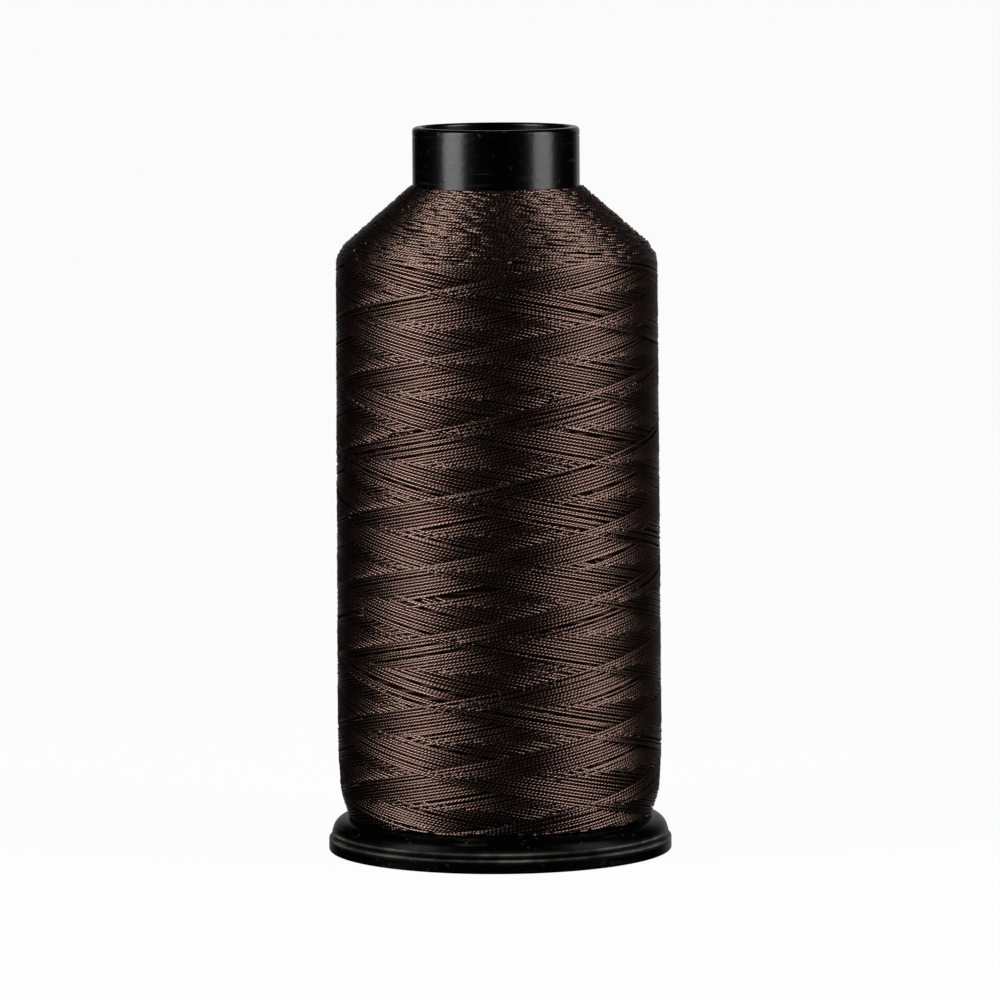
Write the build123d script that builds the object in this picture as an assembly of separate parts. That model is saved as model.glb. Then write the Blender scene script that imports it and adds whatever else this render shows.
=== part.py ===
"""Waxed thread spool: a parallel plastic tube on a raised flange, cross-wound with heavy waxed thread.

The spool stands on its lock base, a disc whose split sleeve snaps up into the tube's bore. Pulling the
two a little apart opens the gap between the disc and the flange, where the thread's end can be nipped.

Frame: millimetres, +Z up along the spool's axis, origin at the centre of the face that it stands on.
Every round piece is turned about the Z axis from corners given as (radius, height) or
(radius, height, rounding).
"""
from build123d import *
import math
import os

# Tube
overall_height = 160.0
tube_outer_diameter = 36.8
tube_wall = 2.0
lip_outer_rounding = 0.9
lip_inner_rounding = 0.6
neck_line_below_lip = 1.9
neck_line_height = 0.3
neck_line_depth = 0.15

# Flange
flange_diameter = 74.6
flange_band_height = 1.1
flange_band_step = 0.15
dome_width = 3.75
dome_height = 3.3
flange_wall = 1.8
spigot_depth = 0.5
collar_wall = 2.0
flange_rib_count = 12
rib_thickness = 1.2
tail_chamfer = 0.45

# Lock base
base_lip = 0.7
base_height = 2.9
base_plate_thickness = 1.8
base_edge_rounding = 0.4
foot_edge_rounding = 0.3
foot_rim_width = 2.0
hub_foot_width = 1.2
base_rib_count = 12
base_rib_inset = 0.2
tail_stop_width = 1.2
tail_stop_overlap = 0.15
lock_travel = 1.6

# Snap sleeve of the lock base
sleeve_wall = 1.4
finger_slot_width = 2.0
finger_slot_start = 4.4
finger_count = 4
groove_above_flange = 2.4
bead_height = 1.5
bead_reach = 0.5
bead_slope = 0.4

# Wound thread
thread_diameter = 0.62
neck_height = 13.0
neck_step = 0.8
shoulder_angle = 48.8
shoulder_rounding = 7.0
belly_to_flange_edge = 1.4
belly_to_shoulder = 0.5
belly_to_heel = 0.6
belly_to_foot = 2.4
belly_rise = 16.5
belly_rounding = 60.0
heel_rise = 5.3
heel_rounding = 12.0
outer_layers_thickness = 2.0
anchor_wrap_count = 13
anchor_wraps_above_flange = 4.0

# Clearances
sleeve_clearance = 0.10
bead_clearance = 0.10
seam_gap = 0.10
tail_stop_clearance = 0.30
rib_clearance = 0.40
foot_gap = 0.30
winding_clearance = 0.05

# Tube and sleeve radii
tube_outer_radius = tube_outer_diameter / 2
tube_bore_radius = tube_outer_radius - tube_wall
spigot_radius = tube_outer_radius - spigot_depth
sleeve_outer_radius = tube_bore_radius - sleeve_clearance
sleeve_bore_radius = sleeve_outer_radius - sleeve_wall
bead_radius = tube_bore_radius + bead_reach

# Foot, from the floor up
base_recess = base_height - base_plate_thickness
seam_height = base_height + seam_gap
tube_foot_height = base_height + foot_gap
band_top = seam_height + flange_band_height
tail_stop_top = seam_height + lock_travel + tail_stop_overlap
crown_height = band_top + dome_height
ceiling_height = crown_height - flange_wall
groove_bottom = crown_height + groove_above_flange
bead_bottom = groove_bottom + lock_travel + bead_clearance
bead_top = bead_bottom + bead_height
groove_top = bead_top + bead_clearance

# Foot, from the rim inwards
flange_radius = flange_diameter / 2
base_radius = flange_radius + base_lip
dome_top_radius = flange_radius - flange_band_step - dome_width
skirt_inner_radius = flange_radius - flange_wall
tail_stop_radius = skirt_inner_radius - tail_stop_clearance
tail_stop_inner_radius = tail_stop_radius - tail_stop_width

# Wound package
package_bottom = crown_height + winding_clearance
package_top = overall_height - neck_height
belly_radius = flange_radius - belly_to_flange_edge
winding_bore_radius = tube_outer_radius + winding_clearance


def turned(*corners):
    """A round piece turned about Z from (radius, height) corners; a third value rounds its corner."""
    face = make_face(Polyline(*[corner[:2] for corner in corners], close=True))
    for corner in corners:
        if len(corner) == 3:
            at_corner = face.vertices().sort_by_distance((corner[0], corner[1], 0))[0]
            face = fillet(at_corner, corner[2])
    return revolve(Plane.XZ * face, Axis.Z)


def spokes(count, inner_radius, outer_radius, thickness, bottom, top):
    """Radial ribs, evenly spaced about Z."""
    length = outer_radius - inner_radius
    blank = Box(length, thickness, top - bottom)
    rib = Pos(inner_radius + length / 2, 0, (bottom + top) / 2) * blank
    return [Rot(0, 0, 360 * turn / count) * rib for turn in range(count)]


def core_tube():
    """Straight tube: rounded lip, fine line round the neck, spigot at the foot, snap groove in the bore."""
    neck_line_top = overall_height - neck_line_below_lip
    neck_line_bottom = neck_line_top - neck_line_height
    line_radius = tube_outer_radius - neck_line_depth
    groove_radius = bead_radius + bead_clearance
    return turned(
        (tube_bore_radius, tube_foot_height),
        (spigot_radius, tube_foot_height),
        (spigot_radius, crown_height),
        (tube_outer_radius, crown_height),
        (tube_outer_radius, neck_line_bottom),
        (line_radius, neck_line_bottom),
        (line_radius, neck_line_top),
        (tube_outer_radius, neck_line_top),
        (tube_outer_radius, overall_height, lip_outer_rounding),
        (tube_bore_radius, overall_height, lip_inner_rounding),
        (tube_bore_radius, groove_top),
        (groove_radius, groove_top),
        (groove_radius, groove_bottom),
        (tube_bore_radius, groove_bottom),
    )


def dome_shell():
    """Flange wall: a quarter-round dome on a narrow upright band, with a collar round the spigot."""
    collar_radius = spigot_radius + collar_wall
    inner_start = tail_stop_top + tail_stop_clearance
    dome_outer = EllipticalCenterArc(
        (dome_top_radius, band_top), dome_width, dome_height, start_angle=0, arc_size=90
    )
    dome_inner = EllipticalCenterArc(
        (dome_top_radius, inner_start), skirt_inner_radius - dome_top_radius,
        ceiling_height - inner_start, start_angle=0, arc_size=90
    )
    outside = Polyline(
        dome_outer @ 1,
        (spigot_radius, crown_height),
        (spigot_radius, tube_foot_height),
        (collar_radius, tube_foot_height),
        (collar_radius, ceiling_height),
        dome_inner @ 1,
    )
    skirt = Polyline(
        dome_inner @ 0,
        (skirt_inner_radius, seam_height),
        (flange_radius - tail_chamfer, seam_height),
        (flange_radius, seam_height + tail_chamfer),
        (flange_radius, band_top),
        dome_outer @ 0,
    )
    return revolve(Plane.XZ * make_face([dome_outer, outside, dome_inner, skirt]), Axis.Z)


def base_flange():
    """Raised flange pressed on the tube's spigot, stiffened by ribs inside its dome."""
    return dome_shell() + spokes(
        flange_rib_count, spigot_radius + collar_wall / 2, tail_stop_inner_radius - rib_clearance,
        rib_thickness, tube_foot_height + rib_clearance, ceiling_height + flange_wall / 2
    )


def lock_base():
    """Disc that the spool stands on, with a tail stop and a split sleeve that snaps into the tube."""
    hub_foot_radius = sleeve_outer_radius + hub_foot_width
    foot_rim_radius = base_radius - foot_rim_width
    disc = turned(
        (sleeve_bore_radius, 0),
        (hub_foot_radius, 0, foot_edge_rounding),
        (hub_foot_radius, base_recess),
        (foot_rim_radius, base_recess),
        (foot_rim_radius, 0, foot_edge_rounding),
        (base_radius, 0, foot_edge_rounding),
        (base_radius, base_height, base_edge_rounding),
        (tail_stop_radius, base_height),
        (tail_stop_radius, tail_stop_top),
        (tail_stop_inner_radius, tail_stop_top),
        (tail_stop_inner_radius, base_height),
        (sleeve_outer_radius, base_height),
        (sleeve_outer_radius, bead_bottom),
        (bead_radius, bead_bottom),
        (bead_radius, bead_top - bead_slope),
        (bead_radius - bead_slope, bead_top),
        (sleeve_bore_radius, bead_top),
    )
    ribs = spokes(
        base_rib_count, hub_foot_radius - hub_foot_width / 2, base_radius - foot_rim_width / 2,
        rib_thickness, base_rib_inset, base_height - base_plate_thickness / 2
    )
    slots = spokes(
        finger_count, 0, bead_radius + finger_slot_width, finger_slot_width,
        finger_slot_start, bead_top + finger_slot_width
    )
    return disc + ribs - slots


def package(inset):
    """The wound package, or what is left of it with its outside taken back by inset."""
    angle = math.radians(shoulder_angle)
    cone_top_radius = tube_outer_radius + neck_step
    cone_top = package_top - inset / math.sin(angle)
    shoulder_radius = belly_radius - belly_to_shoulder - inset
    shoulder_height = cone_top - (shoulder_radius - cone_top_radius) / math.tan(angle)
    return turned(
        (winding_bore_radius, package_bottom),
        (belly_radius - belly_to_foot - inset, package_bottom),
        (belly_radius - belly_to_heel - inset, package_bottom + heel_rise, heel_rounding),
        (belly_radius - inset, package_bottom + belly_rise, belly_rounding),
        (shoulder_radius, shoulder_height, shoulder_rounding - inset),
        (cone_top_radius, cone_top),
        (winding_bore_radius, cone_top),
    )


def anchor_band(growth):
    """The first wraps, side by side round the tube's foot, grown outwards by growth."""
    bottom = crown_height + anchor_wraps_above_flange
    top = bottom + anchor_wrap_count * thread_diameter
    outer_radius = winding_bore_radius + thread_diameter
    return turned(
        (winding_bore_radius - growth, bottom - growth),
        (outer_radius + growth, bottom - growth),
        (outer_radius + growth, top + growth),
        (winding_bore_radius - growth, top + growth),
    )


def thread_anchor_wraps():
    """Close wraps that hold the start of the thread on the tube."""
    return anchor_band(0)


def thread_inner_winding():
    """The body of the package, wound over the anchor wraps."""
    return package(outer_layers_thickness) - anchor_band(winding_clearance)


def thread_outer_winding():
    """The last layers, which carry the thread's free end and are the first to be used."""
    return package(0) - package(outer_layers_thickness - winding_clearance)


os.makedirs("parts", exist_ok=True)
for sub_part in (
    core_tube,
    base_flange,
    lock_base,
    thread_anchor_wraps,
    thread_inner_winding,
    thread_outer_winding,
):
    export_step(sub_part(), f"parts/{sub_part.__name__}.step")
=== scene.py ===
"""Waxed thread spool: wound thread, moulded plastics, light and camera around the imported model.

The thread is laid the way a precision winder lays it. It runs round the package while it travels up and
down. Each stroke pair stops a fraction of a coil short of whole coils, so that after PLACES pairs the
thread lies right beside its earlier wraps. Where two wraps cross, the later one is on top. The turning
points of buried layers show as shallow loops on the cone.

Winding works in millimetres: an angle round the axis, a distance s down the package's outline from the
neck to the foot, and a rise above that outline.
"""
import bpy
import math
import numpy as np
from mathutils import Matrix, Vector


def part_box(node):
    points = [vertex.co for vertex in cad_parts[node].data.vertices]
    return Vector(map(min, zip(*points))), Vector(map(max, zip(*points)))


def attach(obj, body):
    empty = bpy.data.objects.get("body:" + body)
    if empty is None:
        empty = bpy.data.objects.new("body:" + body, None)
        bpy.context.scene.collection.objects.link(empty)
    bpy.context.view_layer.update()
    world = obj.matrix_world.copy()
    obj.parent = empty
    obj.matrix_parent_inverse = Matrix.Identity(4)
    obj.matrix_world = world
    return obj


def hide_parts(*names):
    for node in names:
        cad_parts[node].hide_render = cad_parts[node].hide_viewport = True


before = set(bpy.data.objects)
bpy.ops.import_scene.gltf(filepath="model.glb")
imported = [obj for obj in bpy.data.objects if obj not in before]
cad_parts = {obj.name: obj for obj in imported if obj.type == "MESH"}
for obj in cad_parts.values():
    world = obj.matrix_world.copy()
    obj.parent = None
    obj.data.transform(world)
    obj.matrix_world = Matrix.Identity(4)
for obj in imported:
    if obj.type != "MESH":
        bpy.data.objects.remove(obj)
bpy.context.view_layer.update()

MM = 0.001
SPOOL = "spool"
FULL_TURN = 2 * math.pi

# Thread: its section, its plies, its patches of wax, and the corners and spacing of its mesh's rings
THREAD_HALF_WIDTH = 0.345
THREAD_HALF_HEIGHT = 0.25
THREAD_PLIES = 3
PLY_LAY = 2.7
PLY_GROOVE = 0.06
PLY_FULLNESS = 0.7
WAX_PATCHES_PER_MM = 0.05
STRAND_SIDES = 6
RING_STEP = 1.6

# Winding: the stroke pairs of a layer and their turning points
STROKE_PAIRS = 65
COILS_PER_PAIR = 6
PLACES = 3
TURN_ROUNDING = 1.6
SHOULDER_SET_BACK = 0.9
FOOT_SET_BACK = 0.5

# Crossings: how deep a wrap dips under another, over how many rings, and which stretches are left out
CROSSING_STEP = 0.6
CROSSING_RINGS = 0.8
HIDDEN_LEVEL = 0.08
FEWEST_RINGS = 4

# Outline of the package: the spacing of its points, and over how many of them its normals are averaged
OUTLINE_STEP = 0.1
NORMAL_STEPS = 3

# Irregularity of the winding: sideways, in height, and in which wrap is on top at a crossing
WRAP_WANDER = 0.06
STRAY_WANDER = 0.3
STRAY_SHARE = 0.15
STRAY_RISE = 0.05
WANDER_RINGS = 12
HEIGHT_WANDER = 0.02
HEIGHT_RINGS = 3
CROSSING_JITTER = 1.8

# Loops on the cone: each comes up from below along its lead, turns, drops a little and ends
LOOPS_PER_ROW = 42
LOOP_ROW_STEP = 0.66
LOOP_STEP = 1.2
LOOP_LEAD = 4.0
LOOP_DROP = 0.9
LOOP_ROUNDING = 1.5
LOOP_JITTER = 0.2
LOOP_SPREAD = 0.25
LOOP_SINK = 0.2
LOOP_DIVE = 1.1

# Buried layers
CORE_DEPTH = 0.62
CORE_COLUMNS = 180
CORE_ROWS = 160
CORE_SET_BACK = 0.4
CORE_RELIEF = 0.2
CORE_WAVE_SCALE = 230.0
CORE_WAVE_DISTORTION = 1.5

# Pieces of thread and their maps: each run starts at a random place in the thread's pattern
SEGMENTS_PER_PIECE = 15_500
PATTERN_LENGTH = 500
BAKE_ROWS = 146
BAKE_MARGIN = 0.05
BAKE_SHARE = 0.85
BAKE_DISC = 0.3

# Painted highlights along two edges of the foot: the top of the flange's band, and the lock base's edge
# just below the seam
BAND_HEIGHT = 1.1
HIGHLIGHT_BELOW_SEAM = 0.2

# Colours
WAXED_BROWN = (0.20, 0.125, 0.103)
DRY_BROWN = (0.27, 0.175, 0.148)
# factor by which the plies' grooves are darkened: painted shade
PAINTED_GROOVE_SHADE = 0.25
SHEEN_EDGE = (0.35, 0.38, 0.40, 1)
# painted shade: the buried layers are a darker brown than the thread, darkest between their ribs
BURIED_SHADOW = (0.010, 0.005, 0.004)
SHADED_BURIED_BROWN = (0.06, 0.034, 0.028)
BLACK_PLASTIC = (0.0009, 0.0007, 0.0006)
# pale grey of real scratches and specks, also the colour of the painted edge highlights
WEAR_AND_HIGHLIGHT_GREY = (0.20, 0.19, 0.185)

# Roughness, and how much wear adds to the plastic's
GROOVE_ROUGHNESS = 0.38
PLY_ROUGHNESS = 0.25
BURIED_SHADOW_ROUGHNESS = 0.7
BURIED_BROWN_ROUGHNESS = 0.45
WORN_ROUGHNESS = 0.25

# Wear of the plastic, from 0 for new to 1 for rubbed grey, the faint painted highlight of an edge's halo
# on the same scale, and the depth of its relief
SCRATCH_WEAR = 0.12
SPECK_WEAR = 0.18
HALO_HIGHLIGHT = 0.12
SCRATCH_SCALE = (60, 60, 2500)
PLASTIC_RELIEF = 0.03

# A painted edge highlight: a pale line with a faint halo, by their distances from the edge
LINE_FULL = 0.12
LINE_ENDS = 0.3
HALO_ENDS = 0.9

# Studio, in metres and degrees, with the camera's lens and sensor in millimetres
PAPER = 0.96
FLOOR_GREY = (0.05, 0.05, 0.05, 1)
FLOOR_HALF = 7.0
BACKDROP_DIRECTION = (0.1, 0.98, 0.0)
BACKDROP_STARTS = 0.8
BACKDROP_FULL = 0.98
BACKDROP_STRENGTH = 0.7
BOX_DISTANCE = 0.9
BOX_WIDTH = 0.46
BOX_BOTTOM = 0.04
BOX_TOP = 0.85
CAMERA_DISTANCE = 1.52
CAMERA_HEIGHT = 0.240
CAMERA_LEAN = -0.37
CAMERA_LENS = 249.2
CAMERA_SENSOR = 36.0
AIM_RIGHT = 0.0004
AIM_HEIGHT = 0.0775

rng = np.random.default_rng(7)


# ---------------------------------------------------------------- outline of the wound package

class Outline:
    """The package's outline, resampled evenly: radius, height and outward normal along s."""

    def __init__(self, corners):
        legs = np.hypot(*np.diff(corners, axis=0).T)
        at = np.concatenate([[0], np.cumsum(legs)])
        self.length = at[-1]
        self.s = np.arange(0, self.length, OUTLINE_STEP)
        self.radius = np.interp(self.s, at, corners[:, 0])
        self.height = np.interp(self.s, at, corners[:, 1])
        across = smooth(np.gradient(self.radius), NORMAL_STEPS)
        down = smooth(np.gradient(self.height), NORMAL_STEPS)
        size = np.hypot(across, down)
        self.normal_out = -down / size
        self.normal_up = across / size

    def at(self, s, rise):
        """Radius and height at distance s and a rise above the outline."""
        radius = np.interp(s, self.s, self.radius) + rise * np.interp(s, self.s, self.normal_out)
        height = np.interp(s, self.s, self.height) + rise * np.interp(s, self.s, self.normal_up)
        return radius, height

    def shoulder_at(self, radius):
        """The s at which the cone or shoulder has that radius."""
        widest = int(np.argmax(self.radius))
        return float(np.interp(radius, self.radius[:widest], self.s[:widest]))


def package_outline():
    """Outline of the package from its top at the bore to its foot.

    The package is convex, so this is the outer hull of the rings of points that its CAD solid has.
    """
    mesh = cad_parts["thread_outer_winding"].data
    points = np.empty(len(mesh.vertices) * 3, np.float32)
    mesh.vertices.foreach_get("co", points)
    points = points.reshape(-1, 3) / MM
    rings = np.stack([np.hypot(points[:, 0], points[:, 1]), points[:, 2]], axis=1)
    rings = np.unique(np.round(rings, 3), axis=0)
    rings = rings[np.lexsort((rings[:, 0], -rings[:, 1]))]
    hull = []
    for ring in rings:
        while len(hull) > 1 and turns_inwards(hull[-2], hull[-1], ring):
            hull.pop()
        hull.append(ring)
    return Outline(np.array(hull))


def turns_inwards(first, middle, last):
    """True if the middle point lies on or inside the line from first to last."""
    to_middle = middle - first
    to_last = last - first
    return to_middle[0] * to_last[1] - to_middle[1] * to_last[0] >= 0


def smooth(values, sigma):
    """values averaged with a Gaussian of sigma steps, the ends held."""
    reach = int(3 * sigma) + 1
    kernel = np.exp(-0.5 * (np.arange(-reach, reach + 1) / sigma) ** 2)
    padded = np.concatenate([np.full(reach, values[0]), values, np.full(reach, values[-1])])
    return np.convolve(padded, kernel / kernel.sum(), "valid")


def wander(count, sigma, size):
    """Slow random wandering of count steps, with a standard deviation of size."""
    path = smooth(rng.normal(0, 1, count), sigma)
    return path / path.std() * size


# ---------------------------------------------------------------- the winding

def turn_back(distance, travel):
    """Distance from the turning point of a stroke, rounded near it and still travel / 2 half-way."""
    half = travel / 2
    stretch = math.sqrt((half + TURN_ROUNDING) ** 2 - TURN_ROUNDING**2) / half
    return np.sqrt((distance * stretch) ** 2 + TURN_ROUNDING**2) - TURN_ROUNDING


def turning_points(outline):
    """The s at which the strokes of the last layer turn back, at the shoulder and at the foot."""
    top = outline.shoulder_at(outline.radius.max() - SHOULDER_SET_BACK)
    return top, outline.length - FOOT_SET_BACK


def stroke_pair(outline):
    """Way of the thread from the foot to the top and back: its coils, and the phase and s of each ring.

    Phase counts coils from the foot.
    """
    top, foot = turning_points(outline)
    travel = foot - top
    coils = COILS_PER_PAIR - pow(PLACES, -1, STROKE_PAIRS) / STROKE_PAIRS
    rings = int(coils * FULL_TURN * outline.radius.max() / RING_STEP)
    phase = np.linspace(0, coils, rings)
    to_top = np.abs(phase - coils / 2) / (coils / 2) * travel
    near_top = to_top < travel / 2
    s = np.where(near_top, top + turn_back(to_top, travel), foot - turn_back(travel - to_top, travel))
    return coils, phase, s


def on_top(pair, coils, phase):
    """1 where a stroke pair lies over the one that it crosses, 0 where it passes under, eased between.

    The later of the two is on top: a higher number, or the way down of the same pair.
    """
    crossed = (pair + PLACES * np.round((coils - 2 * phase) * STROKE_PAIRS)) % STROKE_PAIRS
    order = pair + PLACES * abs(rng.normal(0, CROSSING_JITTER))
    way_up = phase < coils / 2
    later = np.where(way_up, order - 0.5 > crossed, order + 0.5 > crossed)
    return smooth(later.astype(float), CROSSING_RINGS)


def last_layer(outline):
    """The last layer of wraps, stroke pair by stroke pair, as runs of the thread that can be seen."""
    coils, phase, s = stroke_pair(outline)
    rings = len(phase)
    for pair in range(STROKE_PAIRS):
        level = on_top(pair, coils, phase)
        stray = rng.random() < STRAY_SHARE
        own = wander(rings, WANDER_RINGS, STRAY_WANDER if stray else WRAP_WANDER)
        dip = CROSSING_STEP * (1 - level) ** 2
        rise = -THREAD_HALF_HEIGHT - dip + wander(rings, HEIGHT_RINGS, HEIGHT_WANDER)
        if stray:
            rise = rise + STRAY_RISE * level
        place = (s + own).clip(0, outline.length - THREAD_HALF_WIDTH)
        radius, height = outline.at(place, rise)
        angle = (pair * coils + phase) * FULL_TURN
        yield from shown_runs(angle, radius, height, level > HIDDEN_LEVEL)


def shown_runs(angle, radius, height, shown):
    """The stretches of a path that are shown, each with one more ring at either end."""
    keep = np.convolve(shown, np.ones(3), "same") > 0
    edges = np.flatnonzero(np.diff(np.concatenate([[False], keep, [False]]).astype(int)))
    for first, after in edges.reshape(-1, 2):
        if after - first >= FEWEST_RINGS:
            yield angle[first:after], radius[first:after], height[first:after]


def cone_loops(outline):
    """Turning points of buried layers: row after row of shallow loops from the neck to the shoulder."""
    top, foot = turning_points(outline)
    slope = 2 * (foot - top) / COILS_PER_PAIR / FULL_TURN
    start = outline.shoulder_at(outline.radius[0] + THREAD_HALF_WIDTH)
    rows = int((top - start) / LOOP_ROW_STEP)
    for row_s in np.linspace(start, top - LOOP_ROW_STEP / 2, rows):
        first_angle = rng.uniform(0, FULL_TURN)
        for loop in range(LOOPS_PER_ROW):
            at = max(row_s + rng.normal(0, LOOP_JITTER), start - LOOP_JITTER)
            radius, height = outline.at(at, -THREAD_HALF_HEIGHT)
            fall = slope / radius
            reach = math.sqrt((LOOP_DROP + LOOP_ROUNDING) ** 2 - LOOP_ROUNDING**2) / fall
            x = np.arange(-LOOP_LEAD, reach, LOOP_STEP)
            drop = np.sqrt((x * fall) ** 2 + LOOP_ROUNDING**2) - LOOP_ROUNDING
            under = LOOP_DIVE * (-x / LOOP_LEAD).clip(0, 1) + rng.uniform(0, LOOP_SINK)
            tip = first_angle + (loop + rng.normal(0, LOOP_SPREAD)) * FULL_TURN / LOOPS_PER_ROW
            yield tip + x / radius, radius - under, height - drop


def anchor_wraps():
    """The first wraps on the tube, side by side."""
    low, high = (Vector(corner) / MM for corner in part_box("thread_anchor_wraps"))
    radius = high.x - THREAD_HALF_HEIGHT
    wraps = (high.z - low.z) / (2 * THREAD_HALF_WIDTH) - 1
    angle = np.arange(0, wraps * FULL_TURN, RING_STEP / radius)
    height = low.z + THREAD_HALF_WIDTH * (1 + 2 * angle / FULL_TURN)
    yield angle, np.full(len(angle), radius), height


# ---------------------------------------------------------------- thread as mesh

def new_piece(name, points, sizes, corners, material, slot, *replaced):
    """A smooth mesh piece that rides on the spool in place of the CAD nodes named."""
    mesh = bpy.data.meshes.new(name)
    mesh.vertices.add(len(points))
    mesh.vertices.foreach_set("co", points.astype(np.float32).ravel())
    mesh.loops.add(len(corners))
    mesh.loops.foreach_set("vertex_index", corners.astype(np.int32))
    mesh.polygons.add(len(sizes))
    starts = np.concatenate([[0], np.cumsum(sizes)[:-1]])
    mesh.polygons.foreach_set("loop_start", starts.astype(np.int32))
    mesh.update(calc_edges=True)
    mesh.polygons.foreach_set("use_smooth", np.ones(len(sizes), bool))
    mesh.materials.append(material)
    piece = bpy.data.objects.new(name, mesh)
    bpy.context.scene.collection.objects.link(piece)
    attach(piece, SPOOL)
    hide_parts(*replaced)
    return piece


def strand_rings(angle, radius, height):
    """Centres of a run of thread and the points of its rings."""
    out = np.stack([np.cos(angle), np.sin(angle), np.zeros(len(angle))], axis=1)
    centre = out * radius[:, None]
    centre[:, 2] = height
    along = np.gradient(centre, axis=0)
    along /= np.linalg.norm(along, axis=1)[:, None]
    side = np.cross(along, out)
    side /= np.linalg.norm(side, axis=1)[:, None]
    turn = np.arange(STRAND_SIDES) * FULL_TURN / STRAND_SIDES
    tall = THREAD_HALF_HEIGHT * np.cos(turn)
    wide = THREAD_HALF_WIDTH * np.sin(turn)
    ring = tall[:, None] * out[:, None, :] + wide[:, None] * side[:, None, :]
    return centre, centre[:, None, :] + ring


def strand_faces(first, segments):
    """Corners of a run's quads and of the discs at its ends, numbered from its first vertex on."""
    here = np.arange(STRAND_SIDES)
    after = (here + 1) % STRAND_SIDES
    ring = first + np.arange(segments)[:, None] * STRAND_SIDES
    next_ring = ring + STRAND_SIDES
    quads = np.stack([ring + here, ring + after, next_ring + after, next_ring + here], -1)
    discs = np.stack([first + here[::-1], first + segments * STRAND_SIDES + here])
    return quads.reshape(-1), discs.reshape(-1)


def strand_maps(along, slot, per_row):
    """A run's thread map and bake map, for its quads and for the discs at its ends.

    The thread map has the distance along the thread in mm and the share of the way round it. The bake map
    lays the run out in rows, from the slot given on: a slot for each segment and for each end.
    """
    segments = len(along) - 1
    slot_size = np.array([1 / per_row, 1 / BAKE_ROWS])
    here = np.arange(STRAND_SIDES)
    number = slot + 1 + np.arange(segments)[:, None]
    thread_map, bake_map = [], []
    for step, turned in ((0, 0), (0, 1), (1, 1), (1, 0)):
        share = np.broadcast_to((here + turned) / STRAND_SIDES, (segments, STRAND_SIDES))
        distance = np.broadcast_to(along[step:segments + step, None], share.shape)
        column = np.broadcast_to(number % per_row + step, share.shape)
        row = number // per_row + BAKE_MARGIN + BAKE_SHARE * share
        thread_map.append(np.stack([distance, share], -1))
        bake_map.append(np.stack([column, row], -1) * slot_size)
    quad_maps = np.stack([np.stack(thread_map, -2), np.stack(bake_map, -2)]).reshape(2, -1, 2)

    turn = here * FULL_TURN / STRAND_SIDES
    disc = 0.5 + BAKE_DISC * np.stack([np.cos(turn), np.sin(turn)], axis=1)
    disc_maps = []
    for place, distance in ((slot, along[0]), (slot + segments + 1, along[-1])):
        flat = np.stack([np.full(STRAND_SIDES, distance), here / STRAND_SIDES], -1)
        baked = (np.array([place % per_row, place // per_row]) + disc) * slot_size
        disc_maps.append(np.stack([flat, baked]))
    return quad_maps, np.concatenate(disc_maps, axis=1)


def thread_piece(name, runs, material, *replaced):
    """One piece of many runs of thread, with the maps named thread, for its pattern, and OFBake."""
    slots = sum(len(run[0]) + 1 for run in runs)
    per_row = math.ceil(slots / BAKE_ROWS)
    points, quads, discs, quad_maps, disc_maps = [], [], [], [], []
    first = 0
    slot = 0
    for run in runs:
        centre, rings = strand_rings(*run)
        steps = np.linalg.norm(np.diff(centre, axis=0), axis=1)
        along = rng.uniform(0, PATTERN_LENGTH) + np.concatenate([[0], np.cumsum(steps)])
        run_quads, run_discs = strand_faces(first, len(steps))
        run_quad_maps, run_disc_maps = strand_maps(along, slot, per_row)
        points.append(rings.reshape(-1, 3))
        quads.append(run_quads)
        discs.append(run_discs)
        quad_maps.append(run_quad_maps)
        disc_maps.append(run_disc_maps)
        first += len(centre) * STRAND_SIDES
        slot += len(centre) + 1
    quad_count = sum(len(corners) for corners in quads) // 4
    sizes = np.concatenate([np.full(quad_count, 4), np.full(2 * len(runs), STRAND_SIDES)])
    piece = new_piece(name, np.concatenate(points) * MM, sizes, np.concatenate(quads + discs),
                      material, "waxed_thread", *replaced)
    maps = np.concatenate(quad_maps + disc_maps, axis=1)
    for layer, values in zip(("thread", "OFBake"), maps):
        uv = piece.data.uv_layers.new(name=layer).uv
        uv.foreach_set("vector", values.astype(np.float32).ravel())
    return piece


def shared_out(runs):
    """The runs in groups of no more segments than a piece holds."""
    groups = [[]]
    room = SEGMENTS_PER_PIECE
    for run in runs:
        if len(run[0]) > room:
            groups.append([])
            room = SEGMENTS_PER_PIECE
        groups[-1].append(run)
        room -= len(run[0])
    return groups


def winding_core(outline, material):
    """The layers below the last one, which show only as a ground between wraps, painted dark as shade."""
    s = np.linspace(CORE_SET_BACK, outline.length - OUTLINE_STEP, CORE_ROWS)
    radius, height = outline.at(s, -CORE_DEPTH)
    bore = outline.radius[0]
    radius = np.concatenate([[bore], radius, [bore]])
    height = np.concatenate([[height[0]], height, [height[-1]]])
    here = np.arange(CORE_COLUMNS)
    after = (here + 1) % CORE_COLUMNS
    angle = here * FULL_TURN / CORE_COLUMNS
    points = np.stack([radius[:, None] * np.cos(angle), radius[:, None] * np.sin(angle),
                       np.broadcast_to(height[:, None], (len(height), CORE_COLUMNS))], -1)
    row = np.arange(len(radius))[:, None] * CORE_COLUMNS
    next_row = np.roll(row, -1, axis=0)
    corners = np.stack([next_row + here, next_row + after, row + after, row + here], -1).reshape(-1)
    sizes = np.full(len(corners) // 4, 4)
    return new_piece("winding_core", points.reshape(-1, 3) * MM, sizes, corners, material,
                     "waxed_thread", "thread_inner_winding")


# ---------------------------------------------------------------- materials

def new_material(name):
    """A node material and its Principled shader."""
    material = bpy.data.materials.new(name)
    material.use_nodes = True
    tree = material.node_tree
    return material, tree, tree.nodes["Principled BSDF"]


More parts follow.
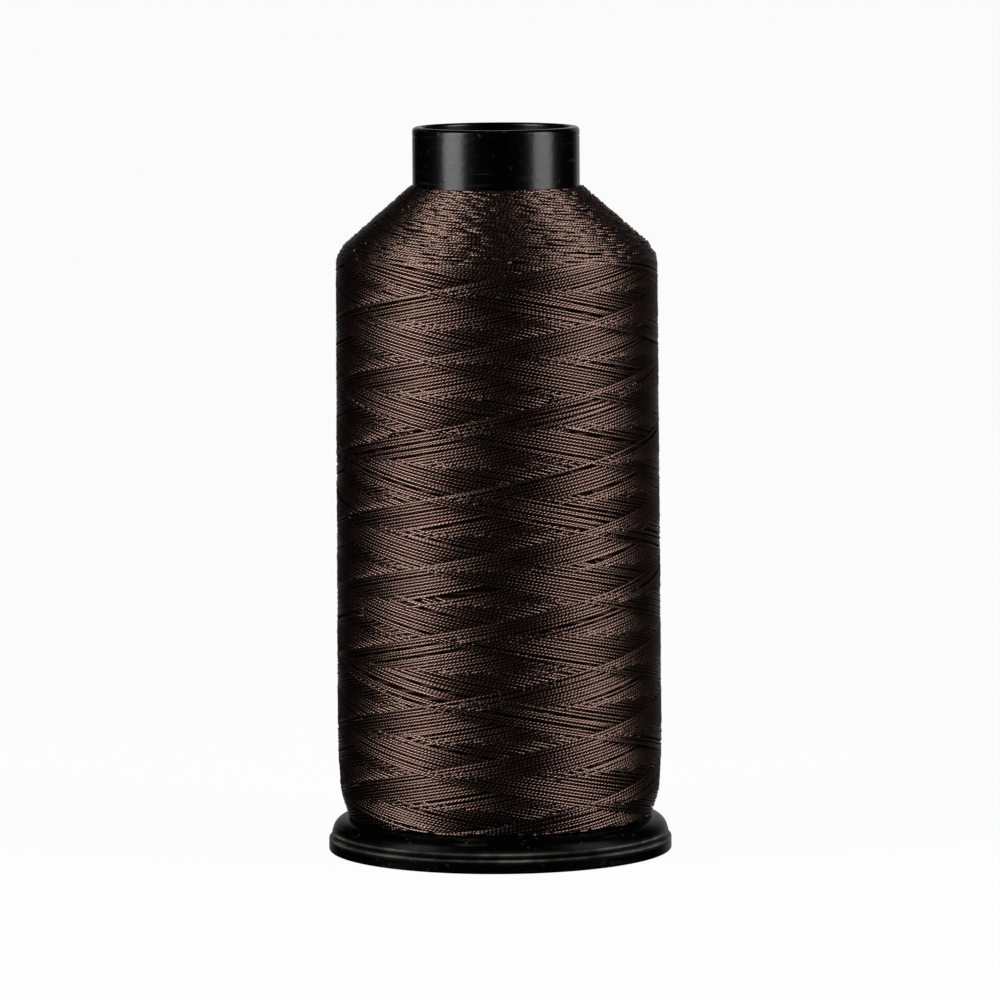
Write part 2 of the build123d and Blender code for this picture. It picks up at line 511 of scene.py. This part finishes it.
def node(tree, kind, inputs=None, **settings):
    """A node with its inputs set to values or linked to sockets."""
    made = tree.nodes.new(kind)
    for key, value in settings.items():
        setattr(made, key, value)
    for key, value in (inputs or {}).items():
        if isinstance(value, bpy.types.NodeSocket):
            tree.links.new(value, made.inputs[key])
        else:
            made.inputs[key].default_value = value
    return made


def math_node(tree, operation, first, second=0.0):
    """The result of a calculation with two values."""
    return node(tree, "ShaderNodeMath", {0: first, 1: second}, operation=operation).outputs[0]


def noise(tree, place, scale, detail):
    """Random patches; the higher the scale, the smaller they are."""
    inputs = {"Vector": place, "Scale": scale, "Detail": detail}
    return node(tree, "ShaderNodeTexNoise", inputs).outputs[0]


def remap(tree, value, low, high, to_low, to_high):
    """value from low..high to to_low..to_high, held at its ends."""
    return node(tree, "ShaderNodeMapRange", {0: value, 1: low, 2: high, 3: to_low, 4: to_high}).outputs[0]


def ramp(tree, value, low, low_colour, high, high_colour):
    """A colour that goes from one to the other as value goes from low to high."""
    made = node(tree, "ShaderNodeValToRGB", {0: value})
    for element, at, colour in zip(made.color_ramp.elements, (low, high), (low_colour, high_colour)):
        element.position = at
        element.color = (*colour, 1)
    return made.outputs[0]


def multiplied(tree, colour, factor):
    """A colour made darker by a factor."""
    mix = node(tree, "ShaderNodeMix", {0: 1.0}, data_type="RGBA", blend_type="MULTIPLY")
    tree.links.new(colour, mix.inputs[6])
    tree.links.new(factor, mix.inputs[7])
    return mix.outputs[2]


def brown_sheen(shader):
    """Waxed fibre throws light back as a brown sheen with no white in it, and stays dark at its edges."""
    shader.inputs["Metallic"].default_value = 1.0
    shader.inputs["Specular Tint"].default_value = SHEEN_EDGE


def thread_material():
    """Dark brown waxed thread: three twisted plies, their grooves darkened with painted shade, and
    patches of more or less wax.
    """
    material, tree, shader = new_material("waxed_thread")
    uv = node(tree, "ShaderNodeUVMap", uv_map="thread").outputs[0]
    split = node(tree, "ShaderNodeSeparateXYZ", {0: uv})
    along, around = split.outputs[0], split.outputs[1]
    ply = math_node(tree, "ADD", math_node(tree, "MULTIPLY", along, THREAD_PLIES / PLY_LAY),
                    math_node(tree, "MULTIPLY", around, THREAD_PLIES))
    wave = math_node(tree, "SINE", math_node(tree, "MULTIPLY", ply, math.pi))
    lobe = math_node(tree, "POWER", math_node(tree, "ABSOLUTE", wave), PLY_FULLNESS)
    patch_place = node(tree, "ShaderNodeCombineXYZ",
                       {0: math_node(tree, "MULTIPLY", along, WAX_PATCHES_PER_MM)}).outputs[0]
    patches = noise(tree, patch_place, scale=1.0, detail=3.0)
    tint = ramp(tree, patches, 0.3, WAXED_BROWN, 0.7, DRY_BROWN)
    # painted shade: the base colour is darkened in the grooves between the plies
    painted_groove_shade = remap(tree, lobe, 0.0, 0.6, PAINTED_GROOVE_SHADE, 1.0)
    roughness = remap(tree, lobe, 0.0, 0.7, GROOVE_ROUGHNESS, PLY_ROUGHNESS)
    tree.links.new(multiplied(tree, tint, painted_groove_shade), shader.inputs["Base Color"])
    tree.links.new(roughness, shader.inputs["Roughness"])
    bump = node(tree, "ShaderNodeBump", {"Height": lobe, "Distance": PLY_GROOVE * MM, "Strength": 1.0})
    tree.links.new(bump.outputs[0], shader.inputs["Normal"])
    brown_sheen(shader)
    return material


def core_material():
    """The buried layers: nearly black brown, which is painted shade, ribbed by the wraps that cross
    there, with painted shadow between the ribs.
    """
    material, tree, shader = new_material("buried_thread")
    place = node(tree, "ShaderNodeTexCoord").outputs["Object"]
    rows = node(tree, "ShaderNodeTexWave",
                {"Vector": place, "Scale": CORE_WAVE_SCALE, "Distortion": CORE_WAVE_DISTORTION},
                bands_direction="Z").outputs[0]
    # painted shadow between the ribs, and painted shade over all of the buried layers
    colour = ramp(tree, rows, 0.2, BURIED_SHADOW, 0.9, SHADED_BURIED_BROWN)
    tree.links.new(colour, shader.inputs["Base Color"])
    roughness = remap(tree, rows, 0.0, 1.0, BURIED_SHADOW_ROUGHNESS, BURIED_BROWN_ROUGHNESS)
    tree.links.new(roughness, shader.inputs["Roughness"])
    bump = node(tree, "ShaderNodeBump", {"Height": rows, "Distance": CORE_RELIEF * MM, "Strength": 1.0})
    tree.links.new(bump.outputs[0], shader.inputs["Normal"])
    brown_sheen(shader)
    return material


def edge_highlight_line(tree, height, edge):
    """Painted highlight beside an edge, given as a height in mm: a pale line with a faint halo."""
    away = math_node(tree, "ABSOLUTE", math_node(tree, "SUBTRACT", height, edge * MM))
    # painted highlight: a pale line along the edge, with a faint halo
    line = remap(tree, away, LINE_FULL * MM, LINE_ENDS * MM, 1.0, 0.0)
    halo = remap(tree, away, LINE_ENDS * MM, HALO_ENDS * MM, HALO_HIGHLIGHT, 0.0)
    return math_node(tree, "MAXIMUM", line, halo)


def edge_highlights(tree, place, edges):
    """Painted highlights along edges, given as heights in mm, that come and go round the object."""
    height = node(tree, "ShaderNodeSeparateXYZ", {0: place}).outputs[2]
    fine = remap(tree, noise(tree, place, scale=300.0, detail=4.0), 0.36, 0.62, 0.4, 1.0)
    broad = remap(tree, noise(tree, place, scale=50.0, detail=1.0), 0.42, 0.55, 0.35, 1.0)
    patchy = math_node(tree, "MULTIPLY", fine, broad)
    lines = [math_node(tree, "MULTIPLY", edge_highlight_line(tree, height, edge), patchy) for edge in edges]
    return math_node(tree, "MAXIMUM", *lines)


def plastic_material(name, shine, roughness, highlit_edges=None):
    """Black moulded plastic: faint scratches round the axis, dull specks, and painted highlights that
    make two edges paler.

    The edges with painted highlights are heights in mm.
    """
    material, tree, shader = new_material(name)
    place = node(tree, "ShaderNodeTexCoord").outputs["Object"]
    stretched = node(tree, "ShaderNodeMapping", {"Vector": place, "Scale": SCRATCH_SCALE}).outputs[0]
    lines = noise(tree, stretched, scale=1.0, detail=4.0)
    patches = remap(tree, noise(tree, place, scale=120.0, detail=2.0), 0.45, 0.65, 0.0, 1.0)
    scratches = math_node(tree, "MULTIPLY", remap(tree, lines, 0.56, 0.70, 0.0, SCRATCH_WEAR), patches)
    marks = noise(tree, place, scale=700.0, detail=5.0)
    specks = remap(tree, marks, 0.65, 0.72, 0.0, SPECK_WEAR)
    wear_and_highlights = math_node(tree, "MAXIMUM", scratches, specks)
    # painted highlights along the edges given, in the same pale grey as the wear
    if highlit_edges:
        wear_and_highlights = math_node(tree, "MAXIMUM", wear_and_highlights, edge_highlights(tree, place, highlit_edges))
    colour = ramp(tree, wear_and_highlights, 0.0, BLACK_PLASTIC, 1.0, WEAR_AND_HIGHLIGHT_GREY)
    dulled = remap(tree, wear_and_highlights, 0.0, 1.0, roughness, roughness + WORN_ROUGHNESS)
    tree.links.new(colour, shader.inputs["Base Color"])
    tree.links.new(dulled, shader.inputs["Roughness"])
    relief = math_node(tree, "ADD", math_node(tree, "MULTIPLY", lines, 0.3), marks)
    bump = node(tree, "ShaderNodeBump",
                {"Height": relief, "Distance": PLASTIC_RELIEF * MM, "Strength": 1.0})
    tree.links.new(bump.outputs[0], shader.inputs["Normal"])
    shader.inputs["Specular IOR Level"].default_value = shine
    return material


# ---------------------------------------------------------------- stage, light and camera

def soft_box(name, azimuth, power):
    """An upright soft box that faces the spool. Azimuth 0 is the camera's side, positive to the right.

    Its power is in watts.
    """
    light = bpy.data.lights.new(name, "AREA")
    light.shape = "RECTANGLE"
    light.size = BOX_WIDTH
    light.size_y = BOX_TOP - BOX_BOTTOM
    light.energy = power
    box = bpy.data.objects.new(name, light)
    bpy.context.scene.collection.objects.link(box)
    back = Vector((math.sin(math.radians(azimuth)), -math.cos(math.radians(azimuth)), 0))
    box.location = back * BOX_DISTANCE + Vector((0, 0, (BOX_BOTTOM + BOX_TOP) / 2))
    box.rotation_euler = back.to_track_quat("Z", "Y").to_euler()


def studio_world():
    """Pale where the camera sees it, and a white backdrop behind the spool for its edges to catch."""
    world = bpy.data.worlds.new("studio")
    bpy.context.scene.world = world
    world.use_nodes = True
    tree = world.node_tree
    tree.nodes.clear()
    path = node(tree, "ShaderNodeLightPath")
    seen = node(tree, "ShaderNodeBackground", {"Color": (PAPER, PAPER, PAPER, 1)})
    place = node(tree, "ShaderNodeTexCoord").outputs["Generated"]
    away = node(tree, "ShaderNodeVectorMath", {0: place, 1: BACKDROP_DIRECTION},
                operation="DOT_PRODUCT").outputs["Value"]
    strength = remap(tree, away, BACKDROP_STARTS, BACKDROP_FULL, 0.0, BACKDROP_STRENGTH)
    backdrop = node(tree, "ShaderNodeBackground", {"Strength": strength})
    mix = node(tree, "ShaderNodeMixShader",
               {0: path.outputs["Is Camera Ray"], 1: backdrop.outputs[0], 2: seen.outputs[0]})
    node(tree, "ShaderNodeOutputWorld", {0: mix.outputs[0]})


def pale_floor():
    """A large pale floor that doesn't throw light back at the dark spool."""
    mesh = bpy.data.meshes.new("floor")
    corners = [(FLOOR_HALF * x, FLOOR_HALF * y, 0) for x, y in ((-1, -1), (1, -1), (1, 1), (-1, 1))]
    mesh.from_pydata(corners, [], [(0, 1, 2, 3)])
    material, _, shader = new_material("floor")
    shader.inputs["Base Color"].default_value = FLOOR_GREY
    shader.inputs["Roughness"].default_value = 1.0
    shader.inputs["Specular IOR Level"].default_value = 0.0
    shader.inputs["Emission Color"].default_value = (1, 1, 1, 1)
    shader.inputs["Emission Strength"].default_value = PAPER
    mesh.materials.append(material)
    floor = bpy.data.objects.new("floor", mesh)
    bpy.context.scene.collection.objects.link(floor)
    floor.visible_diffuse = False
    floor.visible_glossy = False


def photo_camera():
    """The photograph's viewing angle: from a little above, through a long lens, leaning slightly."""
    data = bpy.data.cameras.new("camera")
    data.sensor_width = CAMERA_SENSOR
    data.lens = CAMERA_LENS
    camera = bpy.data.objects.new("camera", data)
    bpy.context.scene.collection.objects.link(camera)
    camera.location = (0, -CAMERA_DISTANCE, CAMERA_HEIGHT)
    aim = Vector((AIM_RIGHT, 0, AIM_HEIGHT))
    upright = (aim - camera.location).to_track_quat("-Z", "Y").to_matrix().to_4x4()
    lean = Matrix.Rotation(math.radians(CAMERA_LEAN), 4, "Z")
    camera.rotation_euler = (upright @ lean).to_euler()
    bpy.context.scene.camera = camera


outline = package_outline()
thread = thread_material()
runs = list(last_layer(outline)) + list(cone_loops(outline))
for number, group in enumerate(shared_out(runs), start=1):
    thread_piece(f"wound_thread_{number}", group, thread, "thread_outer_winding")
thread_piece("anchor_wraps", list(anchor_wraps()), thread, "thread_anchor_wraps")
winding_core(outline, core_material())

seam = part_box("base_flange")[0][2] / MM
# the two edges that get painted highlights
highlight_edge_heights = (seam - HIGHLIGHT_BELOW_SEAM, seam + BAND_HEIGHT)
tube_plastic = plastic_material("tube_plastic", shine=0.4, roughness=0.23)
base_plastic = plastic_material("base_plastic", shine=0.05, roughness=0.3, highlit_edges=highlight_edge_heights)
for name, material in (
    ("core_tube", tube_plastic),
    ("base_flange", base_plastic),
    ("lock_base", base_plastic),
):
    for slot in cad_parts[name].material_slots:
        slot.material = material

studio_world()
pale_floor()
soft_box("left_box", azimuth=-61.5, power=7.2)
soft_box("right_box", azimuth=67, power=5.9)
photo_camera()
bpy.context.scene.view_settings.view_transform = "Standard"
